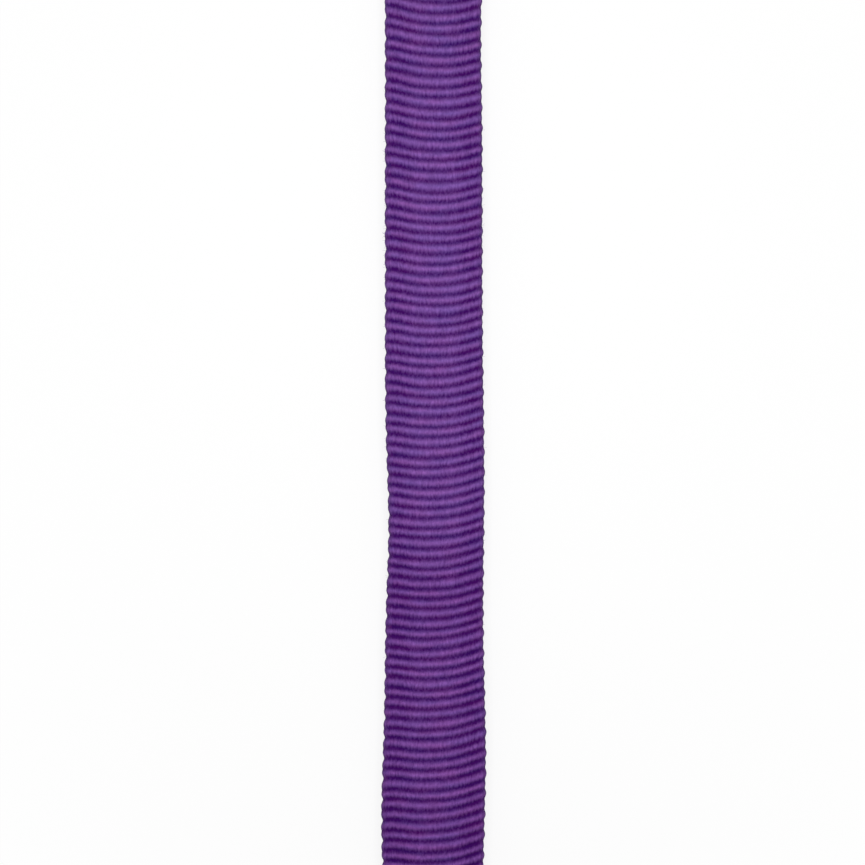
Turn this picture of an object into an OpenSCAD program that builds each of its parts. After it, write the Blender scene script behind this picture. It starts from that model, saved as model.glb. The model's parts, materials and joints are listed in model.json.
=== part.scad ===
// Endless textile round sling, laid doubled and flat: the upper leg lies on the lower leg,
// and the sling turns round a small open eye at each end.
// A hank of polyester yarn carries the load. A ribbed woven sleeve covers it, and the two
// ends of the sleeve overlap, one tucked into the other, and are sewn across.
// Y runs along the sling, X across its flat width, and Z = 0 is the surface it lies on.

/* [Sling] */
// Working length, from bearing point to bearing point
working_length = 500; // [480:5:600]
// Free inner radius of the eye at each end
eye_radius = 10; // [9:0.5:12]
// Steepest slope of the upper leg where it rises to the eye
eye_slope = 60; // [45:1:65]
// Radius, along the middle of the sling, where the upper leg starts to rise
rise_radius = 16; // [14:0.5:24]
// Clear gap between the two legs
leg_gap = 0.4; // [0.35:0.05:0.8]

/* [Sleeve] */
// Flat width of the sleeve over its ribs
sleeve_w = 40; // [38.5:0.5:46]
// Woven wall under the ribs
wall = 0.9; // [0.8:0.05:1.2]
// Height of a rib
rib_h = 0.7; // [0.5:0.05:0.9]
// Distance from rib to rib
rib_pitch = 4.9; // [4.5:0.1:8]
// How far a rib bows along the sling, from the edges to the middle of its width
rib_bow = 3; // [0:0.25:4]
// Run of the slanted edge of the flattened sleeve
edge_run = 2.4; // [2:0.1:3]
// Depth of the flat that the lower leg lies on
rest_flat = 0.5; // [0.3:0.05:0.6]

/* [Core] */
// Diameter of one strand of the yarn hank
strand_d = 2.4; // [2:0.05:2.45]
// Turns of the yarn, which is wound endless
turns = 12; // [11:1:12]
// Room between the strands and the sleeve
core_room = 0.3; // [0.25:0.05:0.5]
// Thickness of the tape that holds the two ends of the yarn
tape_t = 0.15; // [0.1:0.01:0.18]
// Length of that tape along the sling
tape_l = 60; // [50:1:90]
// Length along which every turn steps over by one lane
lane_step_l = 40; // [30:1:45]

/* [Closure] */
// Length that one sleeve end is tucked into the other
overlap_l = 45; // [42:1:52]
// Height of the ribs where the overlap is pressed flat by the seams
pressed_rib_h = 0.3; // [0.2:0.05:0.4]
// Gap between the two sleeve ends in the overlap
tuck_gap = 0.1; // [0.08:0.01:0.15]
// Distance of the first seam from the edge of the outer sleeve end, and between seams
seam_step = 4; // [3:0.25:4.5]
// Number of seams across the overlap
seam_rows = 2; // [1:1:2]
// Thread diameter
thread_d = 0.8; // [0.6:0.05:0.9]
// Length of one stitch
stitch_l = 3; // [2.5:0.1:3.4]
// Distance from stitch to stitch
stitch_pitch = 4; // [3.8:0.1:5]

/* [Tag] */
// Width of the tag across the sling
tag_w = 30; // [24:0.5:34]
// Length of the loose flap of the tag
flap_l = 34; // [24:1:35]
// Length of the sewn root of the tag
root_l = 9; // [8:0.5:12]
// Thickness of the tag
tag_t = 0.8; // [0.6:0.05:1]
// Gap between the tag and the sleeve under it
tag_gap = 0.3; // [0.2:0.05:0.4]

/* [Fold] */
// Distance from the edge of the outer sleeve end to the line where an end of the sling folds up
fold_margin = 22; // [20:1:28]
// Gap between the stretches that meet at a fold line
fold_gap = 0.3; // [0.2:0.05:0.5]

/* [Hidden] */

sleeve_colour = [0.38, 0.21, 0.51];
core_colour = [0.93, 0.92, 0.88];
tape_colour = [0.85, 0.80, 0.62];
thread_colour = [0.62, 0.50, 0.72];
tag_colour = [0.10, 0.27, 0.55];

// Half sizes of the section, as [half width, half thickness]
strand_r = strand_d / 2;
bore_half = strand_r + core_room;
crest = [sleeve_w / 2, bore_half + wall + rib_h];
groove = crest - [rib_h, rib_h];
bore = groove - [wall, wall];
// In the overlap the ribs are pressed down, and the two walls share what is left evenly
pressed_groove = crest - [pressed_rib_h, pressed_rib_h];
pressed_wall = (wall + rib_h - pressed_rib_h - tuck_gap) / 2;
over_bore = pressed_groove - [pressed_wall, pressed_wall];
tucked = over_bore - [tuck_gap, tuck_gap];

// Route of the middle of the sling in the YZ plane
lower_z = crest[1] - rest_flat;
upper_z = lower_z + 2 * crest[1] + leg_gap;
eye_r = eye_radius + crest[1];
drop = lower_z + 2 * eye_r - upper_z;
slope_l = (drop - (eye_r + rise_radius) * (1 - cos(eye_slope))) / sin(eye_slope);
rise_run = (eye_r + rise_radius) * sin(eye_slope) + slope_l * cos(eye_slope);
rise_arc = rise_radius * eye_slope * PI / 180;
eye_arc = eye_r * (180 + eye_slope) * PI / 180;
loop_l = 2 * working_length + 2 * PI * crest[1];
eye_y = (loop_l - 2 * (rise_arc + slope_l + eye_arc) + 2 * rise_run) / 4;
flat_y = eye_y - rise_run;

// Stations along the sling
tuck_margin = 4;
tuck_y = flat_y - tuck_margin;
hem_y = tuck_y - overlap_l;
fold_y = hem_y - fold_margin;
start_y = fold_y + fold_gap / 2;
s_rise = flat_y - start_y;
s_slope = s_rise + rise_arc;
s_eye = s_slope + slope_l;
s_lower = s_eye + eye_arc;
s_end = s_lower + eye_y - start_y;
s_hem = hem_y - start_y;
s_tuck = tuck_y - start_y;
leg_l = 2 * fold_y - fold_gap;
bow_fade_l = 20;
rise_steps = 3;
eye_steps = 10;

// Lanes of the yarn across the sling, spread to the slanted edges of the bore
lane_max = bore[0] - norm([edge_run, bore[1]]);
lane_pitch = 2 * lane_max / (turns - 1);
function lane(i) = -lane_max + i * lane_pitch;
step_angle = atan(lane_pitch / lane_step_l);
echo(least_gap_between_strands = lane_pitch * cos(step_angle) - strand_d);

// Point and heading of the route, [y, z, heading], at s along an end of the sling:
// upper leg, rise, slope, eye, then back along the lower leg
function route(s) =
    s < s_rise ? [start_y + s, upper_z, 0]
    : s < s_slope ? bend(s - s_rise, rise_start, rise_radius)
    : s < s_eye ? ahead(s - s_slope, slope_start)
    : s < s_lower ? bend(s - s_eye, ahead(slope_l, slope_start), -eye_r)
    : [eye_y - (s - s_lower), lower_z, -180];
rise_start = [flat_y, upper_z, 0];
slope_start = bend(rise_arc, rise_start, rise_radius);
// On along an arc of radius r, positive to the left, or straight ahead, from p
function bend(s, p, r) =
    let(turned = p[2] + s / r * 180 / PI)
    [p[0] + r * (sin(turned) - sin(p[2])), p[1] - r * (cos(turned) - cos(p[2])), turned];
function ahead(s, p) = [p[0] + s * cos(p[2]), p[1] + s * sin(p[2]), p[2]];
// The straight run of a middle leg, as a route of the same form
function upper_leg_route(s) = [-leg_l / 2 + s, upper_z, 0];
function lower_leg_route(s) = [leg_l / 2 - s, lower_z, -180];

// A point at x across the sling and t outwards from the middle of its thickness
function placed(p, x, t) = [x, p[0] - t * sin(p[2]), p[1] + t * cos(p[2])];

// Flattened sleeve section: eight points, as [x, t]
function section(h) = [
    [h[0], 0], [h[0] - edge_run, h[1]], [0, h[1]], [edge_run - h[0], h[1]],
    [-h[0], 0], [edge_run - h[0], -h[1]], [0, -h[1]], [h[0] - edge_run, -h[1]]
];
sleeve_sides = 8;
strand_sides = 6;

// Triangles between each ring of points and the next, with the first point at index from
function skin(rings, sides, from = 0, inward = false) = [
    for (i = [0:rings - 2], j = [0:sides - 1])
        let(k = (j + 1) % sides, a = from + i * sides, b = a + sides)
        each inward
            ? [[a + j, b + j, b + k], [a + j, b + k, a + k]]
            : [[a + j, b + k, b + j], [a + j, a + k, b + k]]
];
// Flat ring between an outer ring at index a and an inner ring at index b
function rim(a, b, sides, back) = [
    for (j = [0:sides - 1]) let(k = (j + 1) % sides)
        each back
            ? [[a + j, b + j, b + k], [a + j, b + k, a + k]]
            : [[a + j, b + k, b + j], [a + j, a + k, b + k]]
];
function fan(a, sides, back) = [
    for (j = [1:sides - 2]) back ? [a, a + j + 1, a + j] : [a, a + j, a + j + 1]
];

// Tube with a bore, from lists of outer and inner rings
module tube(outer, inner) {
    sides = sleeve_sides;
    first_inner = len(outer) * sides;
    polyhedron(
        points = [for (ring = outer) each ring, for (ring = inner) each ring],
        faces = concat(
            skin(len(outer), sides),
            skin(len(inner), sides, first_inner, true),
            rim(0, first_inner, sides, true),
            rim(first_inner - sides, first_inner + (len(inner) - 1) * sides, sides, false)
        )
    );
}
// Solid bar over a list of rings
module bar(rings) {
    sides = len(rings[0]);
    polyhedron(
        points = [for (ring = rings) each ring],
        faces = concat(
            skin(len(rings), sides),
            fan(0, sides, true),
            fan((len(rings) - 1) * sides, sides, false)
        )
    );
}

// The bow of a rib, which fades out towards the ends of a stretch from s0 to s1
function bow(s, s0, s1) = rib_bow * max(0, min(1, (s - s0) / bow_fade_l, (s1 - s) / bow_fade_l));
function bent_ring(path, s, h, b) = [
    for (q = section(h)) placed(path(s - b * (1 - pow(q[0] / h[0], 2))), q[0], q[1])
];
// Rings of the outside of a sleeve: a groove, then a crest and a groove for each rib.
// Between press[0] and press[1] the grooves are shallow. With way = -1 the ribs bow forwards.
function ribbed(path, s0, s1, press = [-1, -1], way = 1) =
    let(ribs = round((s1 - s0) / rib_pitch), step = (s1 - s0) / ribs / 2) [
        for (i = [0:2 * ribs])
            let(s = s0 + i * step, pressed = s >= press[0] && s <= press[1])
            bent_ring(path, s, i % 2 == 1 ? crest : pressed ? pressed_groove : groove, way * bow(s, s0, s1))
    ];
// Stations on the bends of an end, between s0 and s1, with both ends
function stations(s0, s1) =
    let(
        bends = [
            for (i = [0:rise_steps]) s_rise + i * rise_arc / rise_steps,
            for (i = [0:eye_steps]) s_eye + i * eye_arc / eye_steps
        ]
    )
    [s0, for (s = bends) if (s > s0 && s < s1) s, s1];
function plain(path, stops, h) = [for (s = stops) bent_ring(path, s, h, 0)];

// Cuts the flat that the lower leg lies on
module rested() {
    reach = working_length;
    difference() {
        children();
        translate([-reach / 2, -reach, -reach]) cube([reach, 2 * reach, reach]);
    }
}

// Straight stretches of the sleeve between the two fold lines
module sleeve_upper_leg() {
    color(sleeve_colour) tube(
        ribbed(function(s) upper_leg_route(s), 0, leg_l),
        plain(function(s) upper_leg_route(s), [0, leg_l], bore)
    );
}
module sleeve_lower_leg() {
    color(sleeve_colour) rested() tube(
        ribbed(function(s) lower_leg_route(s), 0, leg_l),
        plain(function(s) lower_leg_route(s), [0, leg_l], bore)
    );
}

// End of the sling that holds no seam: one stretch of sleeve, turned round the eye.
// Its route runs against the other end's, so its ribs bow forwards to match.
module sleeve_end_a() {
    color(sleeve_colour) rotate([0, 0, 180]) rested() tube(
        ribbed(function(s) route(s), 0, s_end, way = -1),
        plain(function(s) route(s), stations(0, s_end), bore)
    );
}

// Other end: the sleeve comes round the eye and closes over the tucked end.
// Past the tucked end its bore narrows to the core again.
module sleeve_end_b() {
    narrow_s = s_tuck + tuck_margin / 2;
    color(sleeve_colour) rested() tube(
        ribbed(function(s) route(s), s_hem, s_end, [s_hem - 1, narrow_s]),
        concat(
            plain(function(s) route(s), [s_hem, narrow_s], over_bore),
            plain(function(s) route(s), stations(s_rise, s_end), bore)
        )
    );
}

// The tucked sleeve end: ribbed where it shows, pressed flat inside the overlap
module sleeve_tucked_end() {
    press_l = 2;
    show_l = s_hem - press_l;
    color(sleeve_colour) tube(
        concat(
            ribbed(function(s) route(s), 0, show_l),
            plain(function(s) route(s), [s_hem - tuck_gap, s_tuck], tucked)
        ),
        plain(function(s) route(s), [0, s_tuck], bore)
    );
}

// Round section of a strand, as [x, t]
strand_section = [
    for (j = [0:strand_sides - 1]) strand_r * [cos(j * 360 / strand_sides), sin(j * 360 / strand_sides)]
];
function strand_ring(p, x) = [for (q = strand_section) placed(p, x + q[0], q[1])];

module core_upper_leg() {
    color(core_colour) for (i = [0:turns - 1])
        bar([for (s = [0, leg_l]) strand_ring(upper_leg_route(s), lane(i))]);
}

// On the lower leg each turn steps over to the next lane, so the hank is one long yarn.
// Its first and last lengths end side by side with the others, under the tape.
module core_lower_leg() {
    step_0 = leg_l / 2 - lane_step_l / 2;
    step_1 = leg_l / 2 + lane_step_l / 2;
    color(core_colour) {
        for (i = [0:turns - 2]) bar([
            for (q = [[0, i + 1], [step_0, i + 1], [step_1, i], [leg_l, i]])
                strand_ring(lower_leg_route(q[0]), lane(q[1]))
        ]);
        bar([for (s = [0, step_0]) strand_ring(lower_leg_route(s), lane(0))]);
        bar([for (s = [step_1, leg_l]) strand_ring(lower_leg_route(s), lane(turns - 1))]);
    }
}

module core_end() {
    color(core_colour) for (i = [0:turns - 1])
        bar([for (s = stations(0, s_end)) strand_ring(route(s), lane(i))]);
}
module core_end_a() { rotate([0, 0, 180]) core_end(); }
module core_end_b() { core_end(); }

// Adhesive tape wrapped once round the hank
module core_join_tape() {
    tape_room = 0.05;
    inner_r = strand_r + tape_room;
    module round_ended(r) {
        square([2 * lane_max, 2 * r], center = true);
        for (side = [-1, 1]) translate([side * lane_max, 0]) circle(r, $fn = 48);
    }
    color(tape_colour) translate([0, tape_l / 2, lower_z]) rotate([90, 0, 0])
        linear_extrude(tape_l) difference() {
            round_ended(inner_r + tape_t);
            round_ended(inner_r);
        }
}

// A row of separate stitches across the sling, centred at [y, z]
module stitches(y, z, width) {
    count = floor((width - stitch_l) / stitch_pitch) + 1;
    for (i = [0:count - 1])
        translate([(i - (count - 1) / 2) * stitch_pitch - stitch_l / 2, y, z])
            rotate([0, 90, 0]) cylinder(h = stitch_l, d = thread_d, $fn = 8);
}
seam_w = sleeve_w - 4 * edge_run;
// Threads lie a little over half sunk in the cloth
thread_t = crest[1] - thread_d / 8;
module closing_seam(z) {
    for (i = [1:seam_rows]) stitches(hem_y + i * seam_step, z, seam_w);
}
module closing_needle_thread() { color(thread_colour) closing_seam(upper_z + thread_t); }
module closing_bobbin_thread() { color(thread_colour) closing_seam(upper_z - thread_t); }

// Tag: a bare strip of cloth, sewn at its root where the leg starts to rise
tag_in = crest[1] + tag_gap;
tag_out = tag_in + tag_t;
function tag_ring(s) = [
    for (q = [[1, tag_in], [1, tag_out], [-1, tag_out], [-1, tag_in]])
        placed(route(s), q[0] * tag_w / 2, q[1])
];
module tag_root() {
    root_steps = 3;
    color(tag_colour) bar([for (i = [0:root_steps]) tag_ring(s_rise + i * root_l / root_steps)]);
}
module tag_flap() {
    color(tag_colour) bar([for (s = [s_rise - fold_gap - flap_l, s_rise - fold_gap]) tag_ring(s)]);
}
module tag_thread() {
    seam_in = 4;
    at = placed(route(s_rise + seam_in), 0, tag_out - thread_d / 8);
    color(thread_colour) stitches(at[1], at[2], tag_w - 2 * thread_d);
}

sleeve_upper_leg();
sleeve_lower_leg();
sleeve_end_a();
sleeve_end_b();
sleeve_tucked_end();
core_upper_leg();
core_lower_leg();
core_end_a();
core_end_b();
core_join_tape();
closing_needle_thread();
closing_bobbin_thread();
tag_root();
tag_flap();
tag_thread();
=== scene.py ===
import json

import bpy
import numpy as np
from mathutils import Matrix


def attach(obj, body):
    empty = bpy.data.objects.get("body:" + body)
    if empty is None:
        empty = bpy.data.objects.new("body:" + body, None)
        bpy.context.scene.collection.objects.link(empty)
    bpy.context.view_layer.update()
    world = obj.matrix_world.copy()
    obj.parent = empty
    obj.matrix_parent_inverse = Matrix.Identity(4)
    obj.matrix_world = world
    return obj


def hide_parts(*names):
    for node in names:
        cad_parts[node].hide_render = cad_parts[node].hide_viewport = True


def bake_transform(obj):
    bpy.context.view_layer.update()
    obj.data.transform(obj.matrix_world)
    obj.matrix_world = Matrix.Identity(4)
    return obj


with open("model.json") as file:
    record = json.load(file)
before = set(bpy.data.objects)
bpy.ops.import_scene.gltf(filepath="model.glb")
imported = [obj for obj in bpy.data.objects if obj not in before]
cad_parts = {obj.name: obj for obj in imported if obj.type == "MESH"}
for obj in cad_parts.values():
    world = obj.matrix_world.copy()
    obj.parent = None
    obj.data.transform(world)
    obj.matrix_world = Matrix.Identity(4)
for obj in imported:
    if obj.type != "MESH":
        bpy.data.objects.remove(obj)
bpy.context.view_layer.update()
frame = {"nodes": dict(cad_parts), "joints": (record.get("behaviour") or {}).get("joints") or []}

# Studio: a pale floor under the sling, one wide soft lamp straight above it and an even pale
# world. The camera looks straight down on the upper leg, with +Y up in the picture.
mm = 0.001
PICTURE_PIXELS = 865
PIXEL = 0.4063 * mm
VIEW_HEIGHT = PICTURE_PIXELS * PIXEL
VIEW_CENTRE = (-0.5 * mm, -26.9 * mm)
CAMERA_LENS = 160.0
CAMERA_SENSOR = 36.0
CAMERA_REACH = 50.0
LAMP_PLACE = (0.0, 0.08, 0.72)
LAMP_SIZE = 0.5
LAMP_WATTS = 4.0
SKY_STRENGTH = 0.4
WHITE = (1.0, 1.0, 1.0, 1.0)

scene = bpy.context.scene
scene.view_settings.view_transform = "Standard"
hinge = {joint["name"]: joint["pos_m"] for joint in frame["joints"]}
upper_face_z = hinge["end_b_fold"][2]

camera = bpy.data.objects.new("camera", bpy.data.cameras.new("camera"))
camera.data.lens = CAMERA_LENS
camera.data.sensor_width = CAMERA_SENSOR
camera.data.clip_end = CAMERA_REACH
camera.location = (*VIEW_CENTRE, VIEW_HEIGHT * CAMERA_LENS / CAMERA_SENSOR + upper_face_z)
scene.collection.objects.link(camera)
scene.camera = camera

lamp = bpy.data.objects.new("lamp_above", bpy.data.lights.new("lamp_above", "AREA"))
lamp.data.shape = "SQUARE"
lamp.data.size = LAMP_SIZE
lamp.data.energy = LAMP_WATTS
lamp.location = LAMP_PLACE
scene.collection.objects.link(lamp)


def node_in(tree, kind, links=(), **values):
    """Adds a node, sets its properties, and links or sets its inputs by name or number."""
    made = tree.nodes.new(kind)
    for key, value in values.items():
        setattr(made, key, value)
    for key, value in dict(links).items():
        if isinstance(value, bpy.types.NodeSocket):
            tree.links.new(value, made.inputs[key])
        else:
            made.inputs[key].default_value = value
    return made


def math_in(tree, operation, first, second=0.0, third=0.0, clamp=False):
    """The output of a Math node."""
    inputs = {0: first, 1: second, 2: third}
    return node_in(tree, "ShaderNodeMath", inputs, operation=operation, use_clamp=clamp).outputs[0]


def range_in(tree, value, start, end, at_start, at_end):
    """A value eased from at_start to at_end as another goes from start to end."""
    inputs = {"Value": value, "From Min": start, "From Max": end, "To Min": at_start, "To Max": at_end}
    return node_in(tree, "ShaderNodeMapRange", inputs, interpolation_type="SMOOTHSTEP").outputs[0]


def seen_directly(tree):
    """1 for rays from the camera, a reflection or through glass, and 0 for those that carry light."""
    path = node_in(tree, "ShaderNodeLightPath").outputs
    some = math_in(tree, "ADD", path["Is Camera Ray"], path["Is Glossy Ray"])
    return math_in(tree, "ADD", some, path["Is Transmission Ray"], clamp=True)


world = bpy.data.worlds.new("studio")
scene.world = world
world.use_nodes = True
sky = world.node_tree
sky.nodes.clear()
sky_light = node_in(sky, "ShaderNodeBackground", {"Color": WHITE, "Strength": SKY_STRENGTH}).outputs[0]
sky_seen = node_in(sky, "ShaderNodeBackground", {"Color": WHITE, "Strength": 1.0}).outputs[0]
sky_mix = node_in(sky, "ShaderNodeMixShader", {0: seen_directly(sky), 1: sky_light, 2: sky_seen})
node_in(sky, "ShaderNodeOutputWorld", {"Surface": sky_mix.outputs[0]})

# The floor shows as white, but close to the sling it keeps a fifth of its shading, and so a
# faint shadow. That share fades over an oval, longer along the sling.
FLOOR_HALF = 3.0
FLOOR_PALE = (0.95, 0.95, 0.95, 1.0)
FLOOR_ROUGHNESS = 0.95
FLOOR_GLOSS = 0.1
FADE_OVAL = (1.0, 0.35, 1.0)
FADE_FROM = 0.03
FADE_TO = 0.30
FADE_WHITE_NEAR = 0.8

floor_corners = [(x * FLOOR_HALF, y * FLOOR_HALF, 0) for x, y in ((-1, -1), (1, -1), (1, 1), (-1, 1))]
floor_mesh = bpy.data.meshes.new("floor")
floor_mesh.from_pydata(floor_corners, [], [(0, 1, 2, 3)])
floor = bpy.data.objects.new("floor", floor_mesh)
scene.collection.objects.link(floor)
floor_paper = bpy.data.materials.new("floor_paper")
floor_paper.use_nodes = True
floor_tree = floor_paper.node_tree
floor_shader = floor_tree.nodes["Principled BSDF"]
floor_shader.inputs["Base Color"].default_value = FLOOR_PALE
floor_shader.inputs["Roughness"].default_value = FLOOR_ROUGHNESS
floor_shader.inputs["Specular IOR Level"].default_value = FLOOR_GLOSS
floor_place = node_in(floor_tree, "ShaderNodeTexCoord").outputs["Object"]
floor_oval = node_in(floor_tree, "ShaderNodeMapping", {"Vector": floor_place, "Scale": FADE_OVAL})
floor_away = node_in(floor_tree, "ShaderNodeVectorMath", {0: floor_oval.outputs[0]}, operation="LENGTH")
floor_fade = range_in(floor_tree, floor_away.outputs["Value"], FADE_FROM, FADE_TO, FADE_WHITE_NEAR, 1.0)
floor_share = math_in(floor_tree, "MULTIPLY", seen_directly(floor_tree), floor_fade)
floor_white = node_in(floor_tree, "ShaderNodeEmission", {"Color": WHITE, "Strength": 1.0}).outputs[0]
floor_mix = node_in(
    floor_tree, "ShaderNodeMixShader", {0: floor_share, 1: floor_shader.outputs[0], 2: floor_white}
)
floor_tree.links.new(floor_mix.outputs[0], floor_tree.nodes["Material Output"].inputs["Surface"])
floor_mesh.materials.append(floor_paper)


# Core: one white polyester yarn, wound endless in twelve turns that lie side by side in the
# sleeve. It carries the load. On the lower leg every turn steps over by one lane, and a
# wrap of cloth tape holds the first and last lengths of the yarn.
FOLD_Y = hinge["end_b_fold"][1]
FOLD_TO_HEM = 22.0 * mm
OVERLAP_L = 45.0 * mm
OVERLAP_TO_RISE = 4.0 * mm
LEVEL_L = FOLD_Y + FOLD_TO_HEM + OVERLAP_L + OVERLAP_TO_RISE
UPPER_Z = 9.2 * mm
LOWER_Z = 2.6 * mm
EYE_R = 13.1 * mm
RISE_R = 16.0 * mm
EYE_SLOPE = np.radians(60.0)
EYE_CLIMB = LOWER_Z + 2 * EYE_R - UPPER_Z
RISE_L = RISE_R * EYE_SLOPE
SLOPE_L = (EYE_CLIMB - (EYE_R + RISE_R) * (1 - np.cos(EYE_SLOPE))) / np.sin(EYE_SLOPE)
EYE_L = EYE_R * (np.pi + EYE_SLOPE)
LOWER_L = LEVEL_L + (EYE_R + RISE_R) * np.sin(EYE_SLOPE) + SLOPE_L * np.cos(EYE_SLOPE)
HALF_LOOP = LEVEL_L + RISE_L + SLOPE_L + EYE_L + LOWER_L
LOOP_POINTS = 20001


def once_round(s):
    """Length s brought back to within half the loop of the middle of the upper leg."""
    return (s + HALF_LOOP) % (2 * HALF_LOOP) - HALF_LOOP


def sling_route(s):
    """Middle line of the sling at length s from the middle of its upper leg, towards end b, or
    towards end a where s is negative. Its heading is level, then turns up to the slope, stays
    there, turns over and back round the eye, and is level again. The point is the running sum of
    small steps along that heading, and past the middle of the lower leg s goes on round the
    loop. Returns y, z and the outward normal's y and z."""
    stops = np.cumsum([0.0, LEVEL_L, RISE_L, SLOPE_L, EYE_L, LOWER_L])
    headings = np.array([0.0, 0.0, EYE_SLOPE, EYE_SLOPE, -np.pi, -np.pi])
    fine = np.linspace(0.0, HALF_LOOP, LOOP_POINTS)
    between = np.interp((fine[1:] + fine[:-1]) / 2, stops, headings)
    line_y = np.append(0.0, np.cumsum(np.cos(between))) * fine[1]
    line_z = UPPER_Z + np.append(0.0, np.cumsum(np.sin(between))) * fine[1]
    s = once_round(s)
    along, side = np.abs(s), np.where(s < 0, -1.0, 1.0)
    heading = np.interp(along, stops, headings)
    y, z = side * np.interp(along, fine, line_y), np.interp(along, fine, line_z)
    return y, z, -side * np.sin(heading), np.cos(heading)


def placed_on_route(s, x, out):
    """Points at x across the sling and at a distance out from its middle line."""
    y, z, normal_y, normal_z = sling_route(s)
    return np.stack([x + 0 * y, y + normal_y * out, z + normal_z * out], axis=-1)


def tube_object(name, tubes, uv, capped=True, normals=None):
    """A mesh of closed tubes. tubes is an array of tube, ring, point round the ring, and xyz, and
    uv has one point more round each ring, where the ring closes. A capped tube's ends are closed
    with strips across the ring, from each point to the one that mirrors it. In any other tube
    the last ring meets the first, which uv then has twice. Given normals carry the shading on
    over a join between two pieces."""
    count, rings, around, _ = tubes.shape
    index = np.arange(count * rings * around).reshape(count, rings, around)
    ring = index if capped else np.concatenate([index, index[:, :1]], axis=1)
    after = np.roll(ring, -1, axis=2)
    quads = np.stack([ring[:, :-1], after[:, :-1], after[:, 1:], ring[:, 1:]], axis=-1).reshape(-1, 4)
    corner = np.stack([uv[:, :-1, :-1], uv[:, :-1, 1:], uv[:, 1:, 1:], uv[:, 1:, :-1]], axis=-2)
    corner = corner.reshape(-1, 4, 2)
    if capped:
        near = np.arange(around // 2 - 1)
        far = around - 1 - near
        first, last = index[:, 0], index[:, -1]
        first_cap = [first[:, near], first[:, far], first[:, far - 1], first[:, near + 1]]
        last_cap = [last[:, near], last[:, near + 1], last[:, far - 1], last[:, far]]
        caps = np.concatenate([np.stack(cap, axis=-1).reshape(-1, 4) for cap in (first_cap, last_cap)])
        quads = np.concatenate([quads, caps])
        corner = np.concatenate([corner, np.zeros((len(caps), 4, 2))])
    mesh = bpy.data.meshes.new(name)
    mesh.vertices.add(tubes.size // 3)
    mesh.vertices.foreach_set("co", tubes.reshape(-1).astype(np.float32))
    mesh.loops.add(quads.size)
    mesh.loops.foreach_set("vertex_index", quads.reshape(-1).astype(np.int32))
    mesh.polygons.add(len(quads))
    mesh.polygons.foreach_set("loop_start", np.arange(0, quads.size, 4, dtype=np.int32))
    mesh.polygons.foreach_set("use_smooth", np.ones(len(quads), dtype=bool))
    layer = mesh.uv_layers.new(name="weave")
    mesh.update(calc_edges=True)
    layer.data.foreach_set("uv", corner.reshape(-1).astype(np.float32))
    mesh.validate()
    if normals is not None:
        mesh.normals_split_custom_set_from_vertices(normals.reshape(-1, 3))
    made = bpy.data.objects.new(name, mesh)
    scene.collection.objects.link(made)
    return made


def smooth_step(value, low, high):
    """Rises smoothly from 0 at low to 1 at high."""
    t = np.clip((value - low) / (high - low), 0.0, 1.0)
    return t * t * (3 - 2 * t)


STRAND_R = 1.2 * mm
STRAND_TURNS = 12
STRAND_RINGS = 190
STRAND_SIDES = 12
LANE_MAX = 15.57 * mm
LANE_STEP_HALF = 20.0 * mm


def core_half(name, side):
    """Twelve strands side by side over half the loop. A strand is a circle carried along the route
    in its lane. Near the middle of the lower leg the lane moves over by half a lane, so the
    other half meets it there, and the yarn's loose end stops short of that step."""
    lane = np.linspace(-LANE_MAX, LANE_MAX, STRAND_TURNS)
    pitch = lane[1] - lane[0]
    loose = 0 if side > 0 else STRAND_TURNS - 1
    length = np.full(STRAND_TURNS, HALF_LOOP)
    length[loose] -= LANE_STEP_HALF
    s = np.linspace(0.0, 1.0, STRAND_RINGS)[None, :, None] * length[:, None, None]
    step = smooth_step(s, HALF_LOOP - LANE_STEP_HALF, HALF_LOOP + LANE_STEP_HALF)
    step[loose] = 0.0
    angle = np.linspace(0.0, 2 * np.pi, STRAND_SIDES, endpoint=False)[None, None, :]
    x = lane[:, None, None] - side * pitch * step + STRAND_R * np.cos(angle)
    points = placed_on_route(side * s + 0 * angle, x, STRAND_R * np.sin(angle) + 0 * s)
    turn = np.linspace(0.0, 1.0, STRAND_SIDES + 1)[None, None, :]
    uv = np.stack(np.broadcast_arrays(turn, s / (2 * STRAND_R)), axis=-1)
    if side > 0:
        points, uv = points[:, :, ::-1], uv[:, :, ::-1]
    return tube_object(name, points, uv)


# Twisted yarn, for the core and the sewing thread: fine filaments that wind round the yarn.
# It reads the piece's UV map, with turns round the yarn in U and yarn diameters in V.
FILAMENTS_ROUND = 26.0
FILAMENTS_ALONG = 0.5
BUMP_STRENGTH = 0.6
CLOTH_GLOSS = 0.25
CLOTH_SHEEN_ROUGHNESS = 0.45

twisted_yarn = bpy.data.node_groups.new("twisted_yarn", "ShaderNodeTree")
for socket, way in (("Plies", "INPUT"), ("Twist", "INPUT"), ("Height", "OUTPUT"), ("Filament", "OUTPUT")):
    twisted_yarn.interface.new_socket(socket, in_out=way, socket_type="NodeSocketFloat")
yarn_in = node_in(twisted_yarn, "NodeGroupInput").outputs
yarn_uv = node_in(twisted_yarn, "ShaderNodeUVMap", uv_map="weave")
yarn_at = node_in(twisted_yarn, "ShaderNodeSeparateXYZ", {0: yarn_uv.outputs[0]}).outputs
yarn_turns = math_in(twisted_yarn, "MULTIPLY", yarn_at["Y"], yarn_in["Twist"])
yarn_wound = math_in(twisted_yarn, "ADD", yarn_at["X"], yarn_turns)
yarn_plies = math_in(twisted_yarn, "MULTIPLY", yarn_wound, yarn_in["Plies"])
yarn_wave = math_in(twisted_yarn, "SINE", math_in(twisted_yarn, "MULTIPLY", yarn_plies, np.pi))
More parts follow.
